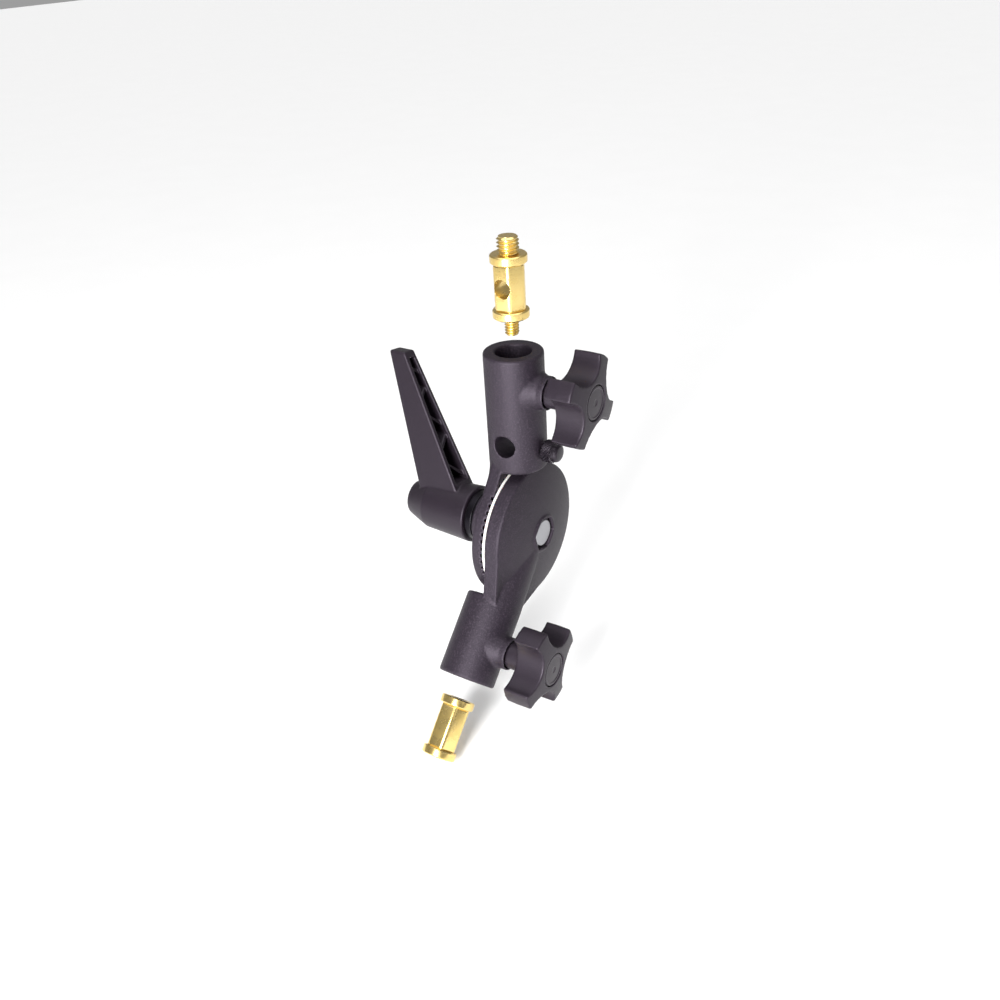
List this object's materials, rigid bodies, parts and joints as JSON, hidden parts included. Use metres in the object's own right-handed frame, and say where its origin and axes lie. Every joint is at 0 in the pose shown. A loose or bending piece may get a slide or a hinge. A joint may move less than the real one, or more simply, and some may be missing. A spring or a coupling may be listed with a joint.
{
  "type": "umbrella swivel bracket",
  "caption": "Swivel bracket for a light stand: two tube sockets on a tilting friction joint with a ratchet lever, clamp knobs, an umbrella hole with a lock screw, and brass studs.",
  "frame": {"origin": "on the stand socket's axis, 1 mm inside its mouth", "axes": "+X along the swivel axis, towards the bolt head and the clamp knobs; +Z along the umbrella arm's socket, out of its mouth, with the arms bent 45 degrees from straight; +Y away from the side that the stand arm leans to"},
  "size_m": [0.1184, 0.1189, 0.2262],
  "materials": {
    "casting": "dark purple-grey powder coat, fine grain",
    "moulding": "glass-filled nylon, fine texture",
    "cap": "moulded nylon cap",
    "friction": "white acetal",
    "zinc_steel": "zinc-plated steel",
    "black_steel": "black oxide steel",
    "spring_steel": "spring steel wire",
    "brass": "turned brass",
    "nylon_tip": "natural nylon"
  },
  "bodies": {
    "stand_side": {"stand_arm": "casting", "pivot_bolt": "zinc_steel"},
    "umbrella_side": {"umbrella_arm": "casting", "friction_disc": "friction"},
    "nut_stack": {"thrust_washer": "black_steel"},
    "nut": {"ratchet_nut": "black_steel", "ratchet_screw": "zinc_steel", "ratchet_spring": "spring_steel"},
    "lever": {"lever_handle": "moulding"},
    "spigot_pad": {"spigot_clamp_pad": "brass"},
    "spigot_clamp": {"spigot_knob": "moulding", "spigot_knob_cap": "cap", "spigot_clamp_screw": "zinc_steel"},
    "stand_pad": {"stand_clamp_pad": "brass"},
    "stand_clamp": {"stand_knob": "moulding", "stand_knob_cap": "cap", "stand_clamp_screw": "zinc_steel"},
    "lock_tip": {"umbrella_lock_tip": "nylon_tip"},
    "umbrella_lock": {"umbrella_lock_knob": "moulding", "umbrella_lock_screw": "black_steel"},
    "upper_stud": {"male_stud": "brass"},
    "lower_stud": {"female_stud": "brass"}
  },
  "joints": [
    {"name": "tilt", "type": "hinge", "parent": "stand_side", "child": "umbrella_side", "pos_m": [0, 0.05339, 0.05339], "axis": [1, 0, 0], "range_deg": [-175, 84]},
    {"name": "nut_travel", "type": "slide", "parent": "stand_side", "child": "nut_stack", "axis": [-1, 0, 0], "range_m": [0, 0.000625]},
    {"name": "lever_swing", "type": "hinge", "parent": "nut_stack", "child": "nut", "pos_m": [0, 0.05339, 0.05339], "axis": [-1, 0, 0], "range_deg": [0, 180]},
    {"name": "lever_lift", "type": "slide", "parent": "nut", "child": "lever", "axis": [-1, 0, 0], "range_m": [0, 0.006], "stiffness_N_per_m": 700, "springref_m": -0.004, "deforming": ["ratchet_spring"]},
    {"name": "spigot_pad_travel", "type": "slide", "parent": "umbrella_side", "child": "spigot_pad", "axis": [-1, 0, 0], "range_m": [0, 0.0007]},
    {"name": "spigot_knob_turn", "type": "hinge", "parent": "spigot_pad", "child": "spigot_clamp", "pos_m": [0, 0.05339, 0.12639], "axis": [-1, 0, 0], "range_deg": [0, 202]},
    {"name": "stand_pad_travel", "type": "slide", "parent": "stand_side", "child": "stand_pad", "axis": [-1, 0, 0], "range_m": [0, 0.0007]},
    {"name": "stand_knob_turn", "type": "hinge", "parent": "stand_pad", "child": "stand_clamp", "pos_m": [0, 0.01188, 0.01188], "axis": [-1, 0, 0], "range_deg": [0, 202]},
    {"name": "lock_tip_travel", "type": "slide", "parent": "umbrella_side", "child": "lock_tip", "axis": [-1, 0, 0], "range_m": [0, 0.0009]},
    {"name": "umbrella_lock_turn", "type": "hinge", "parent": "lock_tip", "child": "umbrella_lock", "pos_m": [0, 0.05339, 0.09789], "axis": [-1, 0, 0], "range_deg": [0, 406]},
    {"name": "male_stud_slide", "type": "slide", "parent": "umbrella_side", "child": "upper_stud", "axis": [0, 0, -1], "range_m": [-0.035, 0.0423]},
    {"name": "female_stud_slide", "type": "slide", "parent": "stand_side", "child": "lower_stud", "axis": [0, 0.7071, 0.7071], "range_m": [-0.035, 0.0375]}
  ],
  "couplings": [
    {"joint": "lever_swing", "follows": "nut_travel", "rad_per_m": 5026.5},
    {"joint": "spigot_knob_turn", "follows": "spigot_pad_travel", "rad_per_m": 5026.5},
    {"joint": "stand_knob_turn", "follows": "stand_pad_travel", "rad_per_m": 5026.5},
    {"joint": "umbrella_lock_turn", "follows": "lock_tip_travel", "rad_per_m": 7854}
  ]
}
